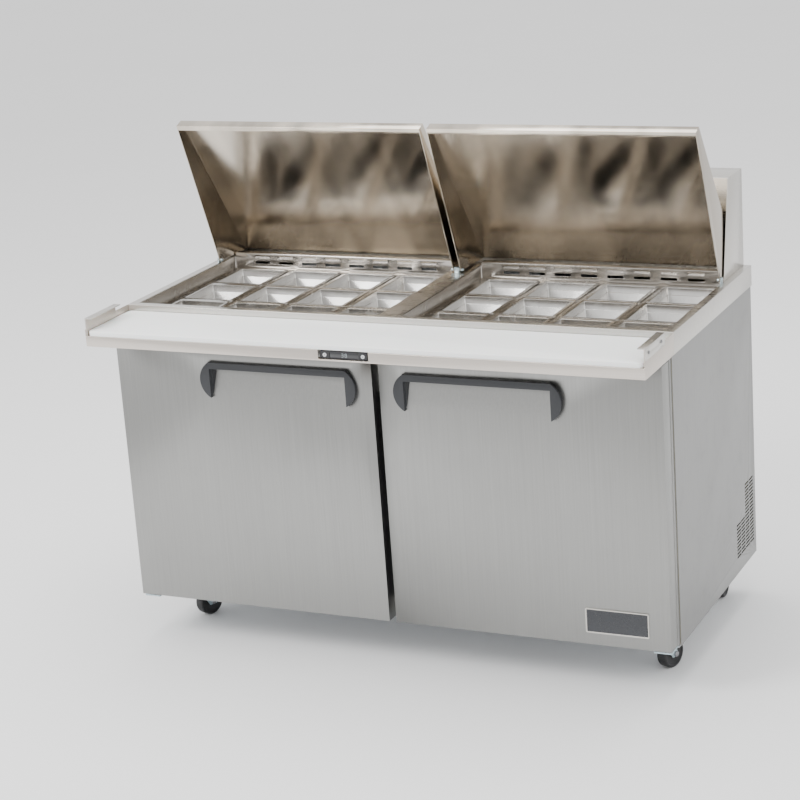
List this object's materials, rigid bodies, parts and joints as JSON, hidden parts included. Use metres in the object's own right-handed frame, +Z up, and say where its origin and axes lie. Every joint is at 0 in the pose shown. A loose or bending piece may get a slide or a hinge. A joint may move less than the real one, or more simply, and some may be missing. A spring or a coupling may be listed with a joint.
{
  "type": "sandwich prep table",
  "caption": "Refrigerated sandwich prep table on casters: two hinged doors, open hood lids over pan wells, and a cutting board shelf along the front.",
  "frame": {"origin": "centre of the bounding box in plan, on the floor under the wheels", "axes": "X along the width, right seen from the front; -Y towards the front, where the cutting board and doors are; +Z up"},
  "size_m": [1.533, 0.89, 1.3655],
  "materials": {
    "stainless_panel": "satin brushed stainless sheet",
    "stainless_top": "satin brushed stainless worktop",
    "stainless_lid": "bright brushed stainless lid",
    "stainless_well": "bright drawn stainless",
    "shelf_strip": "satin stainless front strip",
    "galvanised": "galvanised sheet",
    "liner": "stucco aluminium liner",
    "foam": "rigid foam",
    "board": "white cutting board plastic",
    "zinc": "bright zinc plate",
    "screw": "plated steel",
    "black_plastic": "moulded black plastic",
    "handle_plastic": "slate moulded plastic",
    "display": "smoked display window",
    "key": "moulded key",
    "gasket": "soft magnetic gasket",
    "door_inner": "door liner",
    "wire": "white coated wire",
    "coil": "finned coil",
    "black_paint": "black enamel",
    "wheel": "black wheel tread",
    "pan_steel": "bright stamped pan",
    "badge": "plain badge plate"
  },
  "bodies": {
    "cabinet": {"side_panel_left": "stainless_panel", "side_panel_right": "stainless_panel", "back_panel": "galvanised", "base_panel": "galvanised", "cabinet_liner": "liner", "foam_insulation": "foam", "front_frame": "stainless_panel", "mullion": "black_plastic", "worktop": "stainless_top", "front_shelf": "shelf_strip", "shelf_brackets": "stainless_panel", "bracket_screws": "screw", "rear_cowl": "stainless_lid", "well_left": "stainless_well", "well_right": "stainless_well", "air_duct_left": "stainless_well", "air_duct_right": "stainless_well", "pan_bars": "stainless_well", "lid_hinges": "zinc", "controller_case": "black_plastic", "display_window": "display", "door_hinges": "zinc", "shelf_posts": "zinc", "evaporator_coil": "coil", "evaporator_fan_frame": "black_plastic", "compressor": "black_paint", "condenser_coil": "coil", "condenser_fan_shroud": "black_paint", "cord_gland": "black_plastic", "caster_plates": "zinc"},
    "board": {"cutting_board": "board"},
    "pan_set_left": {"pans_left": "pan_steel"},
    "pan_set_right": {"pans_right": "pan_steel"},
    "lid_left": {"lid_left": "stainless_lid"},
    "lid_right": {"lid_right": "stainless_lid"},
    "door_left": {"door_left_skin": "stainless_panel", "door_left_liner": "door_inner", "door_left_gasket": "gasket", "door_left_handle": "handle_plastic"},
    "door_right": {"door_right_skin": "stainless_panel", "door_right_liner": "door_inner", "door_right_gasket": "gasket", "door_right_handle": "handle_plastic", "door_badge": "badge"},
    "shelf_left": {"shelf_left": "wire"},
    "shelf_right": {"shelf_right": "wire"},
    "key_up": {"key_up": "key"},
    "key_down": {"key_down": "key"},
    "evaporator_fan": {"evaporator_fan_blades": "black_plastic"},
    "condenser_fan": {"condenser_fan_blades": "black_plastic"},
    "caster_front_left": {"caster_fork_front_left": "zinc"},
    "wheel_front_left": {"caster_wheel_front_left": "wheel"},
    "caster_front_right": {"caster_fork_front_right": "zinc"},
    "wheel_front_right": {"caster_wheel_front_right": "wheel"},
    "caster_rear_left": {"caster_fork_rear_left": "zinc"},
    "wheel_rear_left": {"caster_wheel_rear_left": "wheel"},
    "caster_rear_right": {"caster_fork_rear_right": "zinc"},
    "wheel_rear_right": {"caster_wheel_rear_right": "wheel"},
    "brake_left": {"caster_brake_left": "zinc"},
    "brake_right": {"caster_brake_right": "zinc"}
  },
  "joints": [
    {"name": "board_slide", "type": "slide", "parent": "cabinet", "child": "board", "axis": [0, -1, 0], "range_m": [0, 0.2]},
    {"name": "pans_left_lift", "type": "slide", "parent": "cabinet", "child": "pan_set_left", "axis": [0, 0, 1], "range_m": [0, 0.03]},
    {"name": "lid_left_hinge", "type": "hinge", "parent": "cabinet", "child": "lid_left", "pos_m": [-0.375, 0.245, 0.936], "axis": [1, 0, 0], "range_deg": [0, 68.5]},
    {"name": "door_left_hinge", "type": "hinge", "parent": "cabinet", "child": "door_left", "pos_m": [-0.745, -0.291, 0.4965], "axis": [0, 0, -1], "range_deg": [0, 105]},
    {"name": "shelf_left_lift", "type": "slide", "parent": "cabinet", "child": "shelf_left", "axis": [0, 0, 1], "range_m": [0, 0.1]},
    {"name": "pans_right_lift", "type": "slide", "parent": "cabinet", "child": "pan_set_right", "axis": [0, 0, 1], "range_m": [0, 0.03]},
    {"name": "lid_right_hinge", "type": "hinge", "parent": "cabinet", "child": "lid_right", "pos_m": [0.375, 0.245, 0.936], "axis": [1, 0, 0], "range_deg": [0, 68.5]},
    {"name": "door_right_hinge", "type": "hinge", "parent": "cabinet", "child": "door_right", "pos_m": [0.745, -0.291, 0.4965], "axis": [0, 0, 1], "range_deg": [0, 105]},
    {"name": "shelf_right_lift", "type": "slide", "parent": "cabinet", "child": "shelf_right", "axis": [0, 0, 1], "range_m": [0, 0.1]},
    {"name": "key_up_press", "type": "slide", "parent": "cabinet", "child": "key_up", "axis": [0, 1, 0], "range_m": [0, 0.001], "stiffness_N_per_m": 300},
    {"name": "key_down_press", "type": "slide", "parent": "cabinet", "child": "key_down", "axis": [0, 1, 0], "range_m": [0, 0.001], "stiffness_N_per_m": 300},
    {"name": "evaporator_fan_spin", "type": "hinge", "parent": "cabinet", "child": "evaporator_fan", "pos_m": [0.33, 0.355, 0.84], "axis": [0, 1, 0], "continuous": true},
    {"name": "condenser_fan_spin", "type": "hinge", "parent": "cabinet", "child": "condenser_fan", "pos_m": [0.21, 0.353, 0.238], "axis": [0, 1, 0], "continuous": true},
    {"name": "caster_front_left_swivel", "type": "hinge", "parent": "cabinet", "child": "caster_front_left", "pos_m": [-0.68, -0.145, 0.093], "axis": [0, 0, 1], "continuous": true},
    {"name": "wheel_front_left_roll", "type": "hinge", "parent": "caster_front_left", "child": "wheel_front_left", "pos_m": [-0.66974, -0.11681, 0.039], "axis": [0.9397, -0.342, 0], "continuous": true},
    {"name": "caster_front_right_swivel", "type": "hinge", "parent": "cabinet", "child": "caster_front_right", "pos_m": [0.68, -0.145, 0.093], "axis": [0, 0, 1], "continuous": true},
    {"name": "wheel_front_right_roll", "type": "hinge", "parent": "caster_front_right", "child": "wheel_front_right", "pos_m": [0.69026, -0.11681, 0.039], "axis": [0.9397, -0.342, 0], "continuous": true},
    {"name": "caster_rear_left_swivel", "type": "hinge", "parent": "cabinet", "child": "caster_rear_left", "pos_m": [-0.68, 0.34, 0.093], "axis": [0, 0, 1], "continuous": true},
    {"name": "wheel_rear_left_roll", "type": "hinge", "parent": "caster_rear_left", "child": "wheel_rear_left", "pos_m": [-0.68, 0.37, 0.039], "axis": [1, 0, 0], "continuous": true},
    {"name": "caster_rear_right_swivel", "type": "hinge", "parent": "cabinet", "child": "caster_rear_right", "pos_m": [0.68, 0.34, 0.093], "axis": [0, 0, 1], "continuous": true},
    {"name": "wheel_rear_right_roll", "type": "hinge", "parent": "caster_rear_right", "child": "wheel_rear_right", "pos_m": [0.68, 0.37, 0.039], "axis": [1, 0, 0], "continuous": true},
    {"name": "brake_left_press", "type": "hinge", "parent": "caster_front_left", "child": "brake_left", "pos_m": [-0.67521, -0.13184, 0.086], "axis": [-0.9397, 0.342, 0], "range_deg": [0, 6]},
    {"name": "brake_right_press", "type": "hinge", "parent": "caster_front_right", "child": "brake_right", "pos_m": [0.68479, -0.13184, 0.086], "axis": [-0.9397, 0.342, 0], "range_deg": [0, 6]}
  ]
}
